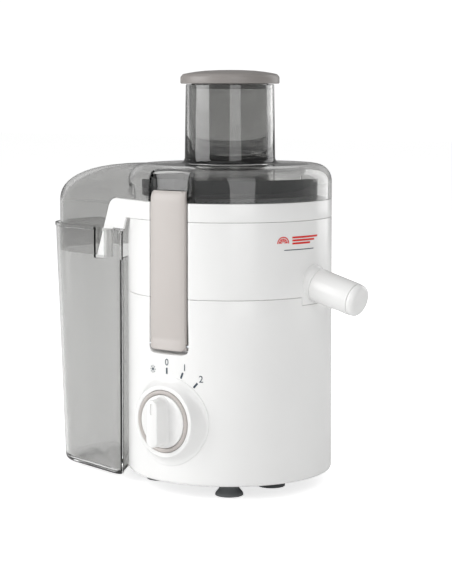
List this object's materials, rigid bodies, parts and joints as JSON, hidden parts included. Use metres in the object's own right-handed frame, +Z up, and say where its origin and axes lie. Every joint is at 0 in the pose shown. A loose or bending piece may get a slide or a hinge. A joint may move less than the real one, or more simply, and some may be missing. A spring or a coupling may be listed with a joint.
{
  "type": "centrifugal juicer",
  "caption": "Upright centrifugal juicer: motor base with dial, juice bowl with spinning sieve and drip-stop spout, clear lid with feed tube and pusher, side clamps and side pulp container.",
  "frame": {"origin": "middle of the underside of the bounding box, on the table", "axes": "+Z up along the drive axis, +X towards the spout, -Y towards the dial and the front clamp"},
  "size_m": [0.3346, 0.209, 0.372],
  "materials": {
    "white_plastic": "glossy moulded",
    "smoke_plastic": "clear smoke grey, polished",
    "clamp_plastic": "satin",
    "cap_plastic": "satin",
    "rubber_grey": "matte",
    "stainless": "etched mesh",
    "zinc_steel": "zinc plated",
    "core_iron": "varnished laminations",
    "copper_wire": "enamelled winding",
    "dark_plastic": "fine texture"
  },
  "bodies": {
    "base": {"motor_housing": "white_plastic", "base_plate": "dark_plastic", "foot_front": "rubber_grey", "foot_right": "rubber_grey", "foot_rear": "rubber_grey", "foot_left_front": "rubber_grey", "foot_left_rear": "rubber_grey", "base_screw_1": "zinc_steel", "base_screw_2": "zinc_steel", "base_screw_3": "zinc_steel", "base_screw_4": "zinc_steel", "cable_gland": "rubber_grey", "juice_bowl": "white_plastic", "pulp_collar": "white_plastic", "clamp_pin_front": "zinc_steel", "clamp_pin_rear": "zinc_steel", "dial_bezel": "white_plastic", "dial_ring": "clamp_plastic", "rotary_switch": "dark_plastic", "bracket_lower": "core_iron", "bracket_upper": "core_iron", "bearing_lower": "zinc_steel", "bearing_upper": "zinc_steel", "motor_bolt_left": "zinc_steel", "motor_bolt_right": "zinc_steel", "motor_damper_left": "rubber_grey", "motor_damper_right": "rubber_grey", "brush_holder_right": "dark_plastic", "brush_holder_left": "dark_plastic", "stator_core": "core_iron", "field_coil_rear": "copper_wire", "field_coil_front": "copper_wire", "shaft_seal": "rubber_grey", "interlock_switch": "dark_plastic", "capacitor": "dark_plastic"},
    "lid": {"lid_and_hood": "smoke_plastic"},
    "pusher": {"pusher_body": "smoke_plastic", "pusher_cap": "cap_plastic"},
    "container": {"pulp_container": "smoke_plastic"},
    "rotor": {"rotor_shaft": "zinc_steel", "rotor_core": "core_iron", "commutator": "copper_wire", "cooling_fan": "dark_plastic", "drive_coupling": "dark_plastic", "basket_hub": "dark_plastic", "grater_disc": "stainless", "sieve_basket": "stainless", "basket_rim": "dark_plastic"},
    "knob": {"control_knob": "white_plastic", "knob_shaft": "dark_plastic"},
    "front_clamp": {"clamp_front": "clamp_plastic"},
    "rear_clamp": {"clamp_rear": "clamp_plastic"},
    "spout_arm": {"spout": "white_plastic", "spout_end_cap": "white_plastic"},
    "interlock": {"interlock_plunger": "clamp_plastic"}
  },
  "joints": [
    {"name": "lid_lift", "type": "slide", "parent": "base", "child": "lid", "axis": [0, 0, 1], "range_m": [0, 0.075]},
    {"name": "clamp_front_swing", "type": "hinge", "parent": "base", "child": "front_clamp", "pos_m": [0.02473, -0.07855, 0.133], "axis": [1, 0, 0], "range_deg": [0, 70.5]},
    {"name": "clamp_rear_swing", "type": "hinge", "parent": "base", "child": "rear_clamp", "pos_m": [0.02473, 0.09645, 0.133], "axis": [-1, 0, 0], "range_deg": [0, 70.5]},
    {"name": "interlock_push", "type": "slide", "parent": "base", "child": "interlock", "axis": [0, -1, 0], "range_m": [0, 0.0031]},
    {"name": "pusher_slide", "type": "slide", "parent": "lid", "child": "pusher", "axis": [0, 0, 1], "range_m": [0, 0.15]},
    {"name": "container_slide", "type": "slide", "parent": "base", "child": "container", "axis": [-1, 0, 0], "range_m": [0, 0.13]},
    {"name": "basket_spin", "type": "hinge", "parent": "base", "child": "rotor", "pos_m": [0.02473, 0.00895, 0.193], "axis": [0, 0, 1], "continuous": true},
    {"name": "knob_turn", "type": "hinge", "parent": "base", "child": "knob", "pos_m": [0.02473, -0.08305, 0.0675], "axis": [0, 1, 0], "range_deg": [-21, 42]},
    {"name": "spout_turn", "type": "hinge", "parent": "base", "child": "spout_arm", "pos_m": [0.11673, 0.00895, 0.1848], "axis": [0.9659, 0, -0.2588], "range_deg": [0, 180]}
  ],
  "couplings": [
    {"joint": "clamp_front_swing", "follows": "lid_lift", "rad_per_m": 16.29},
    {"joint": "clamp_rear_swing", "follows": "lid_lift", "rad_per_m": 16.29},
    {"joint": "interlock_push", "follows": "lid_lift", "ratio": 0.04}
  ]
}
